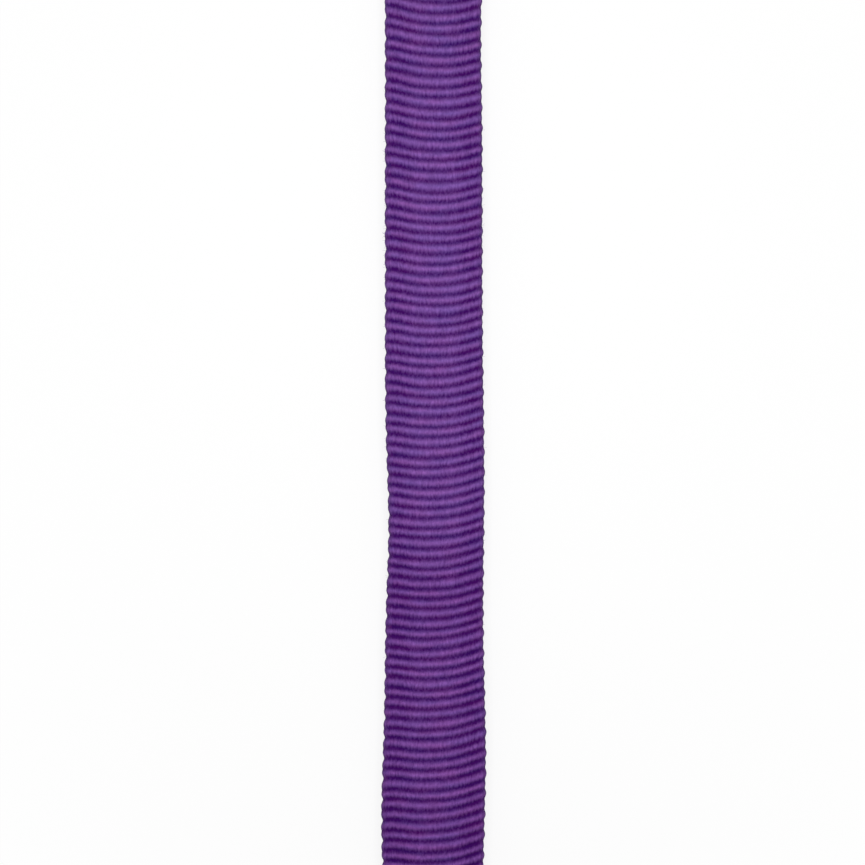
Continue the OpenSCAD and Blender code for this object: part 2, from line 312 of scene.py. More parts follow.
yarn_place = node_in(
    twisted_yarn,
    "ShaderNodeCombineXYZ",
    {
        0: math_in(twisted_yarn, "MULTIPLY", yarn_wound, FILAMENTS_ROUND),
        1: math_in(twisted_yarn, "MULTIPLY", yarn_at["Y"], FILAMENTS_ALONG),
    },
)
yarn_grain = node_in(
    twisted_yarn, "ShaderNodeTexNoise", {"Vector": yarn_place.outputs[0], "Scale": 1.0, "Detail": 2.0}
)
yarn_height = math_in(twisted_yarn, "ABSOLUTE", yarn_wave)
node_in(twisted_yarn, "NodeGroupOutput", {"Height": yarn_height, "Filament": yarn_grain.outputs["Fac"]})


def twist_in(tree, plies, twist):
    """The outputs of a twisted yarn with so many plies, and so many turns in each yarn diameter."""
    inputs = {"Plies": plies, "Twist": twist}
    return node_in(tree, "ShaderNodeGroup", inputs, node_tree=twisted_yarn).outputs


def cloth_material(name, roughness, sheen):
    """A material with a Principled shader for matt polyester. Returns it, its tree and its shader."""
    made = bpy.data.materials.new(name)
    made.use_nodes = True
    shader = made.node_tree.nodes["Principled BSDF"]
    shader.inputs["Roughness"].default_value = roughness
    shader.inputs["Specular IOR Level"].default_value = CLOTH_GLOSS
    shader.inputs["Sheen Weight"].default_value = sheen
    shader.inputs["Sheen Roughness"].default_value = CLOTH_SHEEN_ROUGHNESS
    return made, made.node_tree, shader


def mix_in(tree, share, first, second, blend="MIX"):
    """A colour that goes from the first to the second, or is multiplied by the second."""
    inputs = {0: share, 6: first, 7: second}
    return node_in(tree, "ShaderNodeMix", inputs, data_type="RGBA", blend_type=blend).outputs[2]


def bump_in(tree, shader, height, relief):
    """Gives the shader a bump, relief high where the height is 1."""
    inputs = {"Strength": BUMP_STRENGTH, "Distance": relief, "Height": height}
    bump = node_in(tree, "ShaderNodeBump", inputs)
    tree.links.new(bump.outputs[0], shader.inputs["Normal"])


YARN_WHITE = (0.80, 0.78, 0.72, 1.0)
YARN_SHADE = (0.52, 0.49, 0.43, 1.0)
YARN_RELIEF = 0.3 * mm
YARN_PLIES = 3.0
YARN_TWIST = 0.16
core_yarn, core_tree, core_shader = cloth_material("core_yarn", roughness=0.7, sheen=0.2)
core_twist = twist_in(core_tree, YARN_PLIES, YARN_TWIST)
core_lit = math_in(core_tree, "MULTIPLY", core_twist["Height"], core_twist["Filament"])
core_colour = mix_in(core_tree, core_lit, YARN_SHADE, YARN_WHITE)
core_tree.links.new(core_colour, core_shader.inputs["Base Color"])
bump_in(core_tree, core_shader, core_twist["Height"], YARN_RELIEF)

BEND_L = 34.0 * mm


def bend_at_fold(piece):
    """Bakes the piece's transform into its mesh."""
    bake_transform(piece)


core_a = core_half("core_a", -1.0)
core_b = core_half("core_b", 1.0)
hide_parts("core_end_a", "core_lower_leg")
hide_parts("core_end_b", "core_upper_leg")
for piece, body in ((core_a, "end_a"), (core_b, "end_b")):
    piece.data.materials.append(core_yarn)
    bend_at_fold(piece)

# Tape: a wrap of buff cloth tape round the hank, over the two ends of the yarn. It keeps its
# own solid, since the sleeve hides it.
TAPE_PALE = (0.66, 0.58, 0.36, 1.0)
TAPE_DARK = (0.56, 0.48, 0.28, 1.0)
TAPE_THREADS = {"Scale": 700.0, "Distortion": 1.5}
tape_cloth, tape_tree, tape_shader = cloth_material("join_tape_cloth", roughness=0.6, sheen=0.0)
tape_place = node_in(tape_tree, "ShaderNodeTexCoord").outputs["Object"]
tape_weave = node_in(tape_tree, "ShaderNodeTexWave", {"Vector": tape_place, **TAPE_THREADS})
tape_colour = mix_in(tape_tree, tape_weave.outputs["Fac"], TAPE_DARK, TAPE_PALE)
tape_tree.links.new(tape_colour, tape_shader.inputs["Base Color"])
tape_node = frame["nodes"]["core_join_tape"]
tape_node.data.materials.clear()
tape_node.data.materials.append(tape_cloth)

# Sleeve: a seamless tube of violet polyester, woven with a thick weft that stands up as ribs
# across it, and warp yarns that run along it and float over every other rib. Flattened by
# the core, it lies with one leg on the other. One end of the tube is tucked into the other.
EDGE_HALF = 19.6 * mm
EDGE_DEPTH = 2.3 * mm
BOW_HALF = 19.9 * mm
LOWER_NARROWER = 0.5 * mm
LOWER_FROM = 240.0 * mm
LOWER_TO = 300.0 * mm
LEFT_SWELLS = ((1.4, -185, 35), (-1.4, -66, 32))
RIGHT_SWELLS = ((1.4, -163, 40), (0.8, -50, 45), (-0.5, 130, 25))


def edge_of_sleeve(s, swells):
    """How far an edge stands from the middle of the sling: a half width, plus a few swells and
    hollows, each a bell curve of y with its height, its place and its spread in mm. Both edges
    swell towards end a, where the core lies wider. The lower leg is a little narrower."""
    y = sling_route(s)[0] / mm
    bells = sum(height * np.exp(-(((y - at) / spread) ** 2)) for height, at, spread in swells)
    return EDGE_HALF - LOWER_NARROWER * smooth_step(np.abs(once_round(s)), LOWER_FROM, LOWER_TO) + bells * mm


# Places along the loop and values there, all in mm but the fullness, which is a share. The
# fullness also sets where the cloth is painted darker, as painted shade.
RIB_BOW = ((-240, 5.3), (-200, 4.9), (140, 5.8), (240, 5.3))
RIB_TILT = ((-265, 0.0), (-215, 1.5), (-45, 0.95), (110, -0.65), (150, -0.65), (215, 0.0))
RIB_PITCH = ((-200, 4.16), (-110, 4.08), (20, 4.14), (150, 4.36), (200, 4.16))
FULLNESS_AND_SHADE = ((-270, 0.0), (-200, 1.0), (-150, 0.7), (-95, 0.8), (-60, 0.0))
BOW_POWER = 2.6
BOW_EASED = 0.5
LEAD = 0.8
LEAD_POWER = 6
LEAD_BACK = 0.25
# Waves of the bow: the height in mm, the number round the loop, and the shift at an edge in radians.
RIB_WAVES = ((0.07, 27, 2.3), (0.06, 41, -3.1), (0.03, 141, 2.9))


def along_loop(s, stations):
    """A value at length s, straight between stations, each a place in mm and the value there."""
    return np.interp(once_round(s) / mm, *np.transpose(stations))


def rib_bow(s, x):
    """How far a rib runs ahead along the sling at x across it. The ribs sag in the middle: the bow
    grows as a power of the distance from it and flattens towards the edges. Their tilt
    changes slowly along the upper leg, the right edge leads a little, and no two ribs are
    quite alike: small waves run along the loop, out of step from edge to edge."""
    across = x / BOW_HALF
    bow = along_loop(s, RIB_BOW) * np.abs(across) ** BOW_POWER * (1 - BOW_EASED * across**2)
    lead = LEAD * across * (across**LEAD_POWER - LEAD_BACK)
    turn = np.pi * once_round(s) / HALF_LOOP
    uneven = sum(height * np.sin(waves * turn + shift * across) for height, waves, shift in RIB_WAVES)
    return (bow + along_loop(s, RIB_TILT) * across + lead + uneven) * mm


# Waves of the count: the size in ribs, and the turn from one rib to the next in radians.
RIB_WANDER = ((0.025, 1.9), (0.02, 3.1))
WANDER_EASE = 50.0 * mm
MEASURED_RIBS = 210.0 * mm


def rib_table():
    """Ribs counted from the middle of the upper leg, as two lists, lengths and counts, which go
    twice round the loop. The count is the running sum of length over pitch. The pitch beyond
    the upper leg is eased so that the loop has an even number of ribs, and the count wanders
    by a few hundredths of a rib."""
    s = np.linspace(-HALF_LOOP, HALF_LOOP, LOOP_POINTS)
    share = (s[1] - s[0]) / (along_loop(s, RIB_PITCH) * mm)
    share[0] = 0.0
    even = 2 * np.round(share.sum() / 2)
    beyond = np.abs(s) > MEASURED_RIBS
    share[beyond] *= (even - share[~beyond].sum()) / share[beyond].sum()
    count = np.cumsum(share)
    count -= np.interp(0.0, s, count)
    wander = sum(size * np.sin(rate * count) for size, rate in RIB_WANDER)
    count += wander * smooth_step(HALF_LOOP - np.abs(s), 0.0, WANDER_EASE)
    return np.append(s, s[1:] + 2 * HALF_LOOP), np.append(count, count[1:] + even)


WARP_FACE = 22
WARP_EDGE = 5
WARP_ALL = 2 * (WARP_FACE + WARP_EDGE)
# Waves of the yarns: the size in yarns, the number round the tube and the number round the loop.
YARN_WAVES = ((0.13, 15, 89), (0.10, 11, -131))
WALL_OUT = 2.4 * mm


def warp_round():
    """Warp yarns counted round the tube at each point of a ring, from the left of the outer face:
    four points a yarn on that face and the edges, and two on the inner face. The last point is
    where the ring closes."""
    return np.concatenate(
        [
            np.arange(0, WARP_FACE + WARP_EDGE, 0.25),
            WARP_FACE + WARP_EDGE + np.arange(0, WARP_FACE, 0.5),
            2 * WARP_FACE + WARP_EDGE + np.arange(0, WARP_EDGE, 0.25),
            [WARP_ALL],
        ]
    )


def uneven_yarns(warp, s):
    """Warp count at length s, where the yarns lie unevenly: waves that close round the tube and
    round the loop crowd and spread them by a share of a yarn."""
    tube_turn, loop_turn = 2 * np.pi * warp / WARP_ALL, np.pi * once_round(s) / HALF_LOOP
    waves = (size * np.sin(tube * tube_turn + loop * loop_turn) for size, tube, loop in YARN_WAVES)
    return warp + sum(waves)


def sleeve_ring(warp, left, right):
    """Points round the flattened tube, as x, out and the section's normal: level on both faces,
    with half an ellipse at each edge, where the normal turns with the warp count."""
    edge_starts = (WARP_FACE, 2 * WARP_FACE + WARP_EDGE)
    turn = sum(np.clip((warp - at) / WARP_EDGE, 0, 1) for at in edge_starts) * np.pi
    gone = np.clip(warp / WARP_FACE, 0, 1) - np.clip((warp - WARP_FACE - WARP_EDGE) / WARP_FACE, 0, 1)
    x = EDGE_DEPTH - left + (left + right - 2 * EDGE_DEPTH) * gone + EDGE_DEPTH * np.sin(turn)
    return x, WALL_OUT * np.cos(turn), np.sin(turn), np.cos(turn)


RIB_H = 0.72 * mm
RIB_ROUND = 0.8
RIB_FULLER = 0.25
RIB_LOWER_AT_EDGE = 0.55
WARP_H = 0.16 * mm
WARP_ROUND = 0.4
WEFT_TURN_LEFT = 0.24 * mm
WEFT_TURN_RIGHT = 0.14 * mm


def weave_lift(count, yarn_at, x, fold, rib_share):
    """How far the weave stands out. A rib is a rounded wave, and the warp yarns on it are smaller
    waves, half a yarn over on every other rib. At the edges the ribs are lower, and the weft
    turns and bulges over every second rib."""
    rib = 0.5 - 0.5 * np.cos(2 * np.pi * count)
    yarn = np.abs(np.sin(np.pi * (yarn_at + 0.5 * (np.floor(count) % 2)))) - 2 / np.pi
    bulge = np.where(x > 0, WEFT_TURN_RIGHT, WEFT_TURN_LEFT)
    weft_turn = bulge * np.cos(np.pi * (count - np.where(x > 0, 0.5, 0.0)))
    ribs = RIB_H * rib_share * rib**RIB_ROUND * (1 - RIB_LOWER_AT_EDGE * fold)
    return ribs + WARP_H * yarn * rib**WARP_ROUND + weft_turn * fold**2


HEM_S = FOLD_Y + FOLD_TO_HEM
TUCK_S = HEM_S + OVERLAP_L
HEM_ROLL_R = 0.5 * mm
HEM_ROLL_STEPS = 6
HEM_INSIDE = 5.0 * mm


def hem_rows(count, base):
    """Rows that roll the edge in under itself, put before the others: one row inside, then half
    a circle. Returns the counts, the lengths, and how far in each row is drawn."""
    roll = np.linspace(np.pi, 0.0, HEM_ROLL_STEPS + 1)[:-1, None]
    counts = np.concatenate([np.repeat(count[:1], HEM_ROLL_STEPS + 1, axis=0), count])
    lengths = np.concatenate([base[:1] + HEM_INSIDE, base[0] - HEM_ROLL_R * np.sin(roll), base])
    drawn_in = np.concatenate([[[2 * HEM_ROLL_R]], HEM_ROLL_R * (1 - np.cos(roll)), 0 * base])
    return counts, lengths, drawn_in


LINING_RIBS = 3
LINING_FOLD_MARGIN = 4.0 * mm


def lining_rows(count, s, rows, start):
    """Rows at which the plain inner side of the wall has a ring, from the last one back to the
    length start: each rib on the folds and the eyes, every third one elsewhere, and both ends."""
    from_bend = np.abs(np.abs(sling_route(s)[0]) - FOLD_Y - BEND_L / 2)
    round_loop = np.abs(once_round(s))
    bent = from_bend < BEND_L / 2 + LINING_FOLD_MARGIN
    bent |= (round_loop > LEVEL_L) & (round_loop < HALF_LOOP - LOWER_L)
    ring = count % np.where(bent, 1, LINING_RIBS) == 0
    ring[rows[[0, -1]]] = True
    return rows[ring[rows] & (s[rows] > start)][::-1]


RIB_STEPS = 8
WALL_T = 0.9 * mm
WALL_THINNER = 0.55
CROWN_H = 0.25 * mm
FLOOR_GAP = 0.05 * mm
SWELL_EASE = 9.0 * mm
SWELL_BELOW = 0.10
TUCK_EASE = 6.0 * mm
TUCK_PRESSED = 0.5


def sleeve_stretch(name, s_from, s_to, swell=0.0, tucked=0.0, hem=False):
    """The tube between the grooves nearest to two lengths. Each ring keeps to one place in its rib,
    so rings bow as the ribs do, and the weave stands out along the section's normal. Towards
    end a, where the sleeve is fuller, the ribs stand higher. swell lifts the cloth over the
    tucked end, more on the outer face than on the inner one, tucked draws that end in and presses
    its ribs, and a hem rolls the first rings in under the edge. The inner side of the wall runs
    back from the last ring to the first."""
    table_s, table_count = rib_table()
    first, last = np.round(np.interp([s_from, s_to], table_s, table_count)) * RIB_STEPS
    count = np.arange(first - 1, last + 2)[:, None] / RIB_STEPS
    base = np.interp(count, table_count, table_s)
    drawn_in, rows, lined_from = 0 * base, np.arange(1, len(base) - 1), -np.inf
    if hem:
        count, base, drawn_in = hem_rows(count[1:], base[1:])
        rows, lined_from = np.arange(len(base) - 1), base[0, 0] + HEM_ROLL_R
    left, right = edge_of_sleeve(base, LEFT_SWELLS), edge_of_sleeve(base, RIGHT_SWELLS)
    warp = warp_round()
    yarn_at = uneven_yarns(warp, base)
    x, out, normal_x, normal_out = sleeve_ring(warp[:-1], left, right)
    fold = np.abs(normal_x) + 0 * base
    across = np.abs(2 * x - right + left) / (left + right)
    full = along_loop(base, FULLNESS_AND_SHADE) + 0 * x
    over = (swell > 0) * (1 - smooth_step(base, TUCK_S, TUCK_S + SWELL_EASE))
    under = (tucked > 0) * smooth_step(base, HEM_S - TUCK_EASE, HEM_S)
    moved = swell * over * (1 + SWELL_BELOW + (1 - SWELL_BELOW) * normal_out) / 2 - tucked * under
    rib_share = (1 + RIB_FULLER * full) * (1 - TUCK_PRESSED * under)
    lift = weave_lift(count, yarn_at[:, :-1], x, fold, rib_share) + moved - drawn_in
    crown = CROWN_H * (1 - (x / BOW_HALF) ** 2) * np.clip(normal_out, 0, 1)
    along = base + rib_bow(base, x)
    points = placed_on_route(along, x + normal_x * lift, out + normal_out * lift + crown)
    points[..., 2] = np.maximum(points[..., 2], FLOOR_GAP)
    round_ring = np.roll(points, -1, axis=1) - np.roll(points, 1, axis=1)
    normals = np.cross(round_ring, np.gradient(points, axis=0))
    normals /= np.linalg.norm(normals, axis=-1, keepdims=True)
    depth = moved - WALL_T * (1 - WALL_THINNER * (over + under))
    inner = placed_on_route(along, x + normal_x * depth, out + normal_out * depth)
    back = lining_rows(count[:, 0], base[:, 0], rows, lined_from)
    rings = np.concatenate([rows, back])
    uv = np.stack(np.broadcast_arrays(yarn_at, count), axis=-1)
    made = tube_object(
        name,
        np.concatenate([points[rows], inner[back]])[None],
        uv[np.append(rings, rows[0])][None],
        capped=False,
        normals=np.concatenate([normals[rows], np.zeros_like(inner[back])]),
    )
    # These go to the cloth, where they place painted shade and painted light.
    for attribute, value in (("fold", fold), ("across", across), ("full", full)):
        layer = made.data.attributes.new(attribute, "FLOAT", "POINT")
        layer.data.foreach_set("value", value[rings].reshape(-1).astype(np.float32))
    return made


LEG_S = 127.5 * mm
TUCKED_S = 175.0 * mm
SWELL = 0.75 * mm
TUCKED_IN = 0.7 * mm
upper_leg_sleeve = sleeve_stretch("upper_leg_sleeve", -LEG_S, LEG_S)
lower_leg_sleeve = sleeve_stretch("lower_leg_sleeve", HALF_LOOP - LEG_S, HALF_LOOP + LEG_S)
end_a_sleeve = sleeve_stretch("end_a_sleeve", LEG_S - HALF_LOOP, -LEG_S)
tucked_end_sleeve = sleeve_stretch("tucked_end_sleeve", LEG_S, TUCKED_S, tucked=TUCKED_IN)
end_b_sleeve = sleeve_stretch("end_b_sleeve", HEM_S, HALF_LOOP - LEG_S, swell=SWELL, hem=True)

# The sleeve's cloth: light on the ribs and dark in the grooves, where the dark is painted shade,
# with each warp float, fibre and filament a little lighter or darker, and slow random drifts of
# tint and brightness. The warp floats get painted highlights and the middle of each face is
# painted lighter. The edges are painted a darker, evener violet, as painted shade, and the
# fuller stretch towards end a is painted darker and deeper in colour, also as painted shade.
# Painted shade: the crest violet is the cloth as lit, and the groove violet is the same cloth painted darker
# and deeper, as in the shade of the grooves.
VIOLET_CREST_LIT = (0.264, 0.110, 0.433, 1.0)
VIOLET_GROOVE_SHADED = (0.042, 0.001, 0.106, 1.0)
# Painted shade: the colour by which the fuller stretch towards end a is multiplied, darker and deeper.
FULL_PAINTED_SHADE = (0.98, 0.87, 0.95, 1.0)
# Painted shade at the edges, where the face turns away from the light.
EDGE_PAINTED_SHADE = (0.50, 0.56, 0.50, 1.0)
SLEEVE_GLOSS = 0.05
SLEEVE_RELIEF = 0.12 * mm
FILAMENT_RELIEF = 2.6
# Tones are shares of the way from the violet of a groove to that of a crest.
FIBRE_TONE = 0.70
FILAMENT_TONE = 0.80
FLOAT_TONE = 0.12
RIB_TONE = 0.05
# Painted shade in the grooves: the crests take the light violet, and the grain is smaller in the grooves.
GROOVE_GRAIN = 0.62
CREST_TONE = 0.62
# Painted light: the middle of each face is lighter, and the tone falls off towards the edges as the face
# turns away from the light.
MIDDLE_PAINTED_LIGHT_TONE = 0.12
MIDDLE_FROM = 0.30
MIDDLE_TO = 0.80
# Painted highlights: the tops of the warp floats are lighter than the gaps between them, more so on one
# flank of each rib.
WARP_TONE = 0.09
WARP_FLANK_PAINTED_LIGHT = 0.07
# Painted shade: the tone is lowered on the fuller stretch towards end a.
FULL_PAINTED_SHADE_TONE = -0.06
# Painted shade at the edges: there the tone is evened out and darkened, more so further out.
EDGE_TONE = 0.25
EDGE_WARP_TONE = 0.24
EDGE_GRAIN = 0.8
EDGE_CREST_TONE = 0.30
EDGE_SHADED_TONE_SHARE = 0.8
EDGE_SHADED_TONE_POWER = 1.1
EDGE_DARK = 0.6
EDGE_DARK_POWER = 2.4
HUE_SPREAD = 0.076
VALUE_SPREAD = 0.20
# Rates of the noise, for each warp yarn round the tube and for each rib along it.
FIBRE_RATE = (1.7, 2.7)
FIBRE_DETAIL = 1.5
FILAMENT_RATE = (12.0, 0.9)
HUE_RATE = (0.11, 1.4)
VALUE_RATE = (0.32, 0.8)

sleeve_weave, sleeve_tree, sleeve_shader = cloth_material("violet_rib_weave", roughness=0.8, sheen=0.04)
sleeve_shader.inputs["Specular IOR Level"].default_value = SLEEVE_GLOSS
weave_uv = node_in(sleeve_tree, "ShaderNodeUVMap", uv_map="weave").outputs[0]
weave_at = node_in(sleeve_tree, "ShaderNodeSeparateXYZ", {0: weave_uv}).outputs


def weave_math(operation, first, second=0.0, third=0.0, clamp=False):
    """The output of a Math node in the sleeve's cloth."""
    return math_in(sleeve_tree, operation, first, second, third, clamp)


def weave_noise(rate, detail=2.0):
    """Noise over the cloth, at a rate per warp yarn round the tube and per rib along it."""
    place = node_in(sleeve_tree, "ShaderNodeMapping", {"Vector": weave_uv, "Scale": (*rate, 1.0)})
    inputs = {"Vector": place.outputs[0], "Scale": 1.0, "Detail": detail}
    return node_in(sleeve_tree, "ShaderNodeTexNoise", inputs).outputs["Fac"]


def weave_attribute(name):
    """A value that the sleeve's mesh holds at its points."""
    return node_in(sleeve_tree, "ShaderNodeAttribute", attribute_name=name).outputs["Fac"]


rib_number = weave_math("FLOOR", weave_at["Y"])
rib_turn = weave_math("MULTIPLY", weave_at["Y"], 2 * np.pi)
rib_wave = weave_math("MULTIPLY_ADD", weave_math("COSINE", rib_turn), -0.5, 0.5)
warp_place = weave_math("MULTIPLY_ADD", weave_math("MODULO", rib_number, 2.0), 0.5, weave_at["X"])
warp_wave = weave_math("ABSOLUTE", weave_math("SINE", weave_math("MULTIPLY", warp_place, np.pi)))
warp_above = weave_math("SUBTRACT", warp_wave, 2 / np.pi)
float_place = node_in(
    sleeve_tree, "ShaderNodeCombineXYZ", {0: weave_math("FLOOR", warp_place), 1: rib_number}
)
float_shade = node_in(
    sleeve_tree, "ShaderNodeTexWhiteNoise", {"Vector": float_place.outputs[0]}, noise_dimensions="2D"
)
rib_shade = node_in(sleeve_tree, "ShaderNodeTexWhiteNoise", {"W": rib_number}, noise_dimensions="1D")
fibre = weave_noise(FIBRE_RATE, FIBRE_DETAIL)
filament = weave_noise(FILAMENT_RATE)
full_painted_shade_at, edge_at = weave_attribute("full"), weave_attribute("fold")

grain = -(FIBRE_TONE + FILAMENT_TONE + FLOAT_TONE + RIB_TONE) / 2
grain = weave_math("MULTIPLY_ADD", fibre, FIBRE_TONE, grain)
grain = weave_math("MULTIPLY_ADD", filament, FILAMENT_TONE, grain)
grain = weave_math("MULTIPLY_ADD", float_shade.outputs["Value"], FLOAT_TONE, grain)
grain = weave_math("MULTIPLY_ADD", rib_shade.outputs["Value"], RIB_TONE, grain)
# The grain is smaller in the painted shade of the grooves.
grain = weave_math("MULTIPLY", grain, weave_math("MULTIPLY_ADD", rib_wave, 1 - GROOVE_GRAIN, GROOVE_GRAIN))

# Painted light: lighter in the middle of the face than near its edges.
middle = range_in(sleeve_tree, weave_attribute("across"), MIDDLE_FROM, MIDDLE_TO, MIDDLE_PAINTED_LIGHT_TONE, 0.0)
# Painted highlights on the warp floats, stronger on one flank of each rib.
warp_painted_light = weave_math("MULTIPLY_ADD", weave_math("SINE", rib_turn), WARP_FLANK_PAINTED_LIGHT, WARP_TONE)
tone = weave_math("ADD", grain, weave_math("MULTIPLY_ADD", warp_above, warp_painted_light, middle))
# Painted shade: darker on the fuller stretch towards end a.
tone = weave_math("MULTIPLY_ADD", full_painted_shade_at, FULL_PAINTED_SHADE_TONE, tone)
# Painted shade: the tone runs from the dark violet in the grooves to the light one on the crests.
tone = weave_math("MULTIPLY_ADD", rib_wave, CREST_TONE, tone, clamp=True)
# Painted shade: towards the edges the tone is mixed into an evener, darker one.
edge_tone = weave_math("MULTIPLY_ADD", warp_above, EDGE_WARP_TONE, EDGE_TONE)
edge_tone = weave_math("MULTIPLY_ADD", grain, EDGE_GRAIN, edge_tone)
edge_tone = weave_math("MULTIPLY_ADD", rib_wave, EDGE_CREST_TONE, edge_tone, clamp=True)
edge_shaded_tone_share = weave_math("MULTIPLY", weave_math("POWER", edge_at, EDGE_SHADED_TONE_POWER), EDGE_SHADED_TONE_SHARE)
tone = node_in(sleeve_tree, "ShaderNodeMix", {0: edge_shaded_tone_share, 2: tone, 3: edge_tone}, data_type="FLOAT")

violet = mix_in(sleeve_tree, tone.outputs[0], VIOLET_GROOVE_SHADED, VIOLET_CREST_LIT)
hue = weave_math("MULTIPLY_ADD", weave_noise(HUE_RATE), HUE_SPREAD, 0.5 - HUE_SPREAD / 2)
value = weave_math("MULTIPLY_ADD", weave_noise(VALUE_RATE), VALUE_SPREAD, 1 - VALUE_SPREAD / 2)
violet = node_in(sleeve_tree, "ShaderNodeHueSaturation", {"Hue": hue, "Value": value, "Color": violet})
# Painted shade: the fuller stretch towards end a is multiplied darker and deeper.
violet = mix_in(sleeve_tree, full_painted_shade_at, violet.outputs[0], FULL_PAINTED_SHADE, "MULTIPLY")
# Painted shade: the outermost edges are multiplied darker still.
edge_dark = weave_math("MULTIPLY", weave_math("POWER", edge_at, EDGE_DARK_POWER), EDGE_DARK)
violet = mix_in(sleeve_tree, edge_dark, violet, EDGE_PAINTED_SHADE, "MULTIPLY")
sleeve_tree.links.new(violet, sleeve_shader.inputs["Base Color"])
warp_height = weave_math("MULTIPLY_ADD", filament, FILAMENT_RELIEF, warp_wave)
bump_in(sleeve_tree, sleeve_shader, warp_height, SLEEVE_RELIEF)

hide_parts("sleeve_upper_leg")
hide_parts("sleeve_lower_leg")
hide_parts("sleeve_end_a")
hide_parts("sleeve_tucked_end")
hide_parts("sleeve_end_b")
for piece in (upper_leg_sleeve, lower_leg_sleeve, end_a_sleeve, tucked_end_sleeve, end_b_sleeve):
    piece.data.materials.append(sleeve_weave)
for piece in (upper_leg_sleeve, lower_leg_sleeve):
    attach(piece, "middle")
for piece, body in ((end_a_sleeve, "end_a"), (tucked_end_sleeve, "end_b"), (end_b_sleeve, "end_b")):
    bend_at_fold(piece)

# Loose fibres: short broken filaments of the sleeve's violet polyester, worn out of its edges
# along the upper leg. Their roots stay caught in the weave.
LOOSE_SEED = 11
LOOSE_COUNT = 110
LOOSE_RINGS = 5
LOOSE_SIDES = 4
LOOSE_R = 0.05 * mm
LOOSE_TAPER = 0.6
LOOSE_ROOT = 0.3 * mm
LOOSE_LEFT_SHARE = 0.65
LOOSE_TUFT_SHARE = 0.5
# The middle and the spread of the tuft, then ranges, all in mm.
LOOSE_TUFT = (50, 22)
LOOSE_SPREAD = (-122, 118)
LOOSE_OUT = (-1.2, 1.6)
LOOSE_LENGTH = (0.7, 1.7)
LOOSE_LEAN = (-0.6, 0.6)
LOOSE_CURL = (-0.6, 0.6)
LOOSE_RISE = (-0.4, 0.5)


def loose_fibres(name):
    """Thin four-sided tubes. A fibre starts on an edge, half of them in one long tuft and half
    anywhere along it, runs outwards, and curls along the sling as the square of its length."""
    rng = np.random.default_rng(LOOSE_SEED)
    side = np.where(rng.random(LOOSE_COUNT) < LOOSE_LEFT_SHARE, -1.0, 1.0)
    in_tuft = rng.random(LOOSE_COUNT) < LOOSE_TUFT_SHARE
    tuft = rng.normal(*LOOSE_TUFT, LOOSE_COUNT)
    spread = rng.uniform(*LOOSE_SPREAD, LOOSE_COUNT)
    s = np.clip(np.where(in_tuft, tuft, spread), *LOOSE_SPREAD) * mm
    edge = np.where(side < 0, -edge_of_sleeve(s, LEFT_SWELLS), edge_of_sleeve(s, RIGHT_SWELLS))
    root, s, side = (values[:, None, None] for values in (edge - side * LOOSE_ROOT, s, side))
    out, length, lean, curl, rise = (
        rng.uniform(low, high, LOOSE_COUNT)[:, None, None] * mm
        for low, high in (LOOSE_OUT, LOOSE_LENGTH, LOOSE_LEAN, LOOSE_CURL, LOOSE_RISE)
    )
    t = np.linspace(0.0, 1.0, LOOSE_RINGS)[None, :, None]
    angle = np.linspace(0.0, 2 * np.pi, LOOSE_SIDES, endpoint=False)[None, None, :] * side
    radius = LOOSE_R * (1 - LOOSE_TAPER * t)
    along = s + lean * t + curl * t**2 + radius * np.cos(angle)
    x = root + side * length * t + 0 * angle
    points = placed_on_route(along, x, out + rise * t**2 + radius * np.sin(angle))
    return tube_object(name, points, np.zeros((LOOSE_COUNT, LOOSE_RINGS, LOOSE_SIDES + 1, 2)))


LOOSE_PATCHES = 900.0
edge_fibres = loose_fibres("edge_fibres")
fibre_violet, fibre_tree, fibre_shader = cloth_material("loose_violet_fibre", roughness=0.6, sheen=0.3)
fibre_place = node_in(fibre_tree, "ShaderNodeTexCoord").outputs["Object"]
fibre_patch = node_in(fibre_tree, "ShaderNodeTexNoise", {"Vector": fibre_place, "Scale": LOOSE_PATCHES})
fibre_colour = mix_in(fibre_tree, fibre_patch.outputs["Fac"], VIOLET_GROOVE_SHADED, VIOLET_CREST_LIT)
fibre_tree.links.new(fibre_colour, fibre_shader.inputs["Base Color"])
edge_fibres.data.materials.append(fibre_violet)
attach(edge_fibres, "middle")

# Closing seams: two rows of lockstitch across the overlap, in pale violet polyester thread. The
# needle thread shows on the upper face and the bobbin thread on the lower one.
THREAD_R = 0.42 * mm
THREAD_SIDES = 10
THREAD_RELIEF = 0.12 * mm
THREAD_PLIES = 3.0
THREAD_TWIST = 0.35
THREAD_PALE = (0.40, 0.29, 0.52, 1.0)
THREAD_SHADED = (0.20, 0.12, 0.30, 1.0)
STITCH_L = 3.3 * mm
STITCH_PITCH = 4.0 * mm
STITCH_RINGS = 11
STITCH_SINK = 0.75 * mm
SINK_POWER = 5
SEAM_ROWS = HEM_S + np.array([4.0, 8.0]) * mm
SEAM_COUNT = 7
NEEDLE_OUT = 3.85 * mm
BOBBIN_OUT = -3.0 * mm


